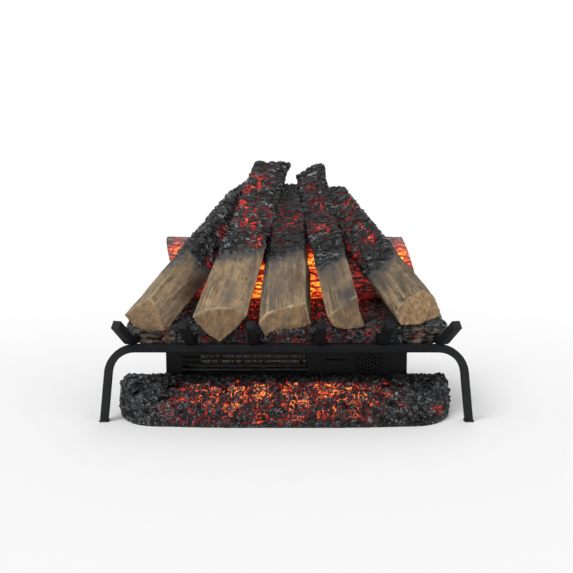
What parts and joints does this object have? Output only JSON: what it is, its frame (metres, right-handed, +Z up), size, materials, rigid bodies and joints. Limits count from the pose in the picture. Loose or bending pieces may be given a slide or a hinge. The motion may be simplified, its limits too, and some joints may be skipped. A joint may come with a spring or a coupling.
{
  "type": "electric log set",
  "caption": "Free-standing electric fireplace log set: split logs on a glowing ember bed and bar grate, over a fan-heater box with a separate floor ember mat.",
  "frame": {"origin": "centre of the whole set's box, on the surface it stands on", "axes": "+X to the right seen from the front, +Y towards the back of the fireplace, +Z up"},
  "size_m": [0.6102, 0.3078, 0.4239],
  "materials": {
    "grate_bar": "matt black",
    "box_sheet": "satin black",
    "black_plastic": "matt black",
    "rubber": "matt black",
    "zinc_sheet": "zinc plated",
    "aluminium": "plain",
    "ceramic": "unglazed",
    "circuit_board": "green board",
    "paper_cone": "black pulp",
    "ferrite": "grey",
    "foil": "bright",
    "ember_shell": "rough charred, translucent glow in the cracks",
    "cast_log": "split wood below, charred bark above",
    "glow_log": "translucent, glowing"
  },
  "bodies": {
    "set": {"grate_front_rail": "grate_bar", "grate_bar_1": "grate_bar", "grate_bar_2": "grate_bar", "grate_bar_3": "grate_bar", "grate_bar_4": "grate_bar", "grate_bar_5": "grate_bar", "grate_bar_6": "grate_bar", "grate_rear_rail": "grate_bar", "leg_foot_left": "black_plastic", "leg_foot_right": "black_plastic", "housing_chassis": "box_sheet", "housing_top": "box_sheet", "front_panel": "box_sheet", "rear_panel": "box_sheet", "rear_screw_1": "zinc_sheet", "rear_screw_2": "zinc_sheet", "rear_screw_3": "zinc_sheet", "rear_screw_4": "zinc_sheet", "rubber_foot_1": "rubber", "rubber_foot_2": "rubber", "rubber_foot_3": "rubber", "rubber_foot_4": "rubber", "door_pin": "zinc_sheet", "control_tray": "black_plastic", "control_board": "circuit_board", "air_duct": "zinc_sheet", "blower_motor": "zinc_sheet", "blower_bearing": "rubber", "element_frame": "ceramic", "heating_element": "aluminium", "thermal_cutout": "ceramic", "speaker_basket": "grate_bar", "speaker_cone": "paper_cone", "speaker_magnet": "ferrite", "power_board": "circuit_board", "rocker_frame": "black_plastic", "cord_gland": "rubber", "lamp_board": "circuit_board", "flicker_motor": "zinc_sheet", "flicker_bearing": "black_plastic", "mat_shell": "ember_shell", "mat_base": "black_plastic", "mat_lamp_board": "circuit_board", "mat_plug": "black_plastic", "mat_socket": "black_plastic", "ember_bed": "ember_shell", "rear_log": "glow_log", "log_1": "cast_log", "log_2": "cast_log", "log_3": "cast_log", "log_4": "cast_log", "log_5": "cast_log"},
    "blower_wheel": {"blower_wheel": "aluminium"},
    "flicker_rotor": {"flicker_rotor": "foil"},
    "control_door": {"control_door": "box_sheet"},
    "button_power": {"button_power": "black_plastic"},
    "button_flame": {"button_flame": "black_plastic"},
    "button_heat": {"button_heat": "black_plastic"},
    "power_rocker": {"power_rocker": "black_plastic"}
  },
  "joints": [
    {"name": "blower_spin", "type": "hinge", "parent": "set", "child": "blower_wheel", "pos_m": [-0.0723, 0.07956, 0.078], "axis": [1, 0, 0], "continuous": true},
    {"name": "flicker_spin", "type": "hinge", "parent": "set", "child": "flicker_rotor", "pos_m": [0, 0.06156, 0.1431], "axis": [1, 0, 0], "continuous": true},
    {"name": "control_door_hinge", "type": "hinge", "parent": "set", "child": "control_door", "pos_m": [0.0843, -0.00614, 0.0812], "axis": [-1, 0, 0], "range_deg": [0, 95]},
    {"name": "button_power_press", "type": "slide", "parent": "set", "child": "button_power", "axis": [0, 1, 0], "range_m": [0, 0.0015], "stiffness_N_per_m": 500},
    {"name": "button_flame_press", "type": "slide", "parent": "set", "child": "button_flame", "axis": [0, 1, 0], "range_m": [0, 0.0015], "stiffness_N_per_m": 500},
    {"name": "button_heat_press", "type": "slide", "parent": "set", "child": "button_heat", "axis": [0, 1, 0], "range_m": [0, 0.0015], "stiffness_N_per_m": 500},
    {"name": "power_rocker_tilt", "type": "hinge", "parent": "set", "child": "power_rocker", "pos_m": [0.11, 0.14186, 0.08], "axis": [1, 0, 0], "range_deg": [-16, 0]}
  ]
}
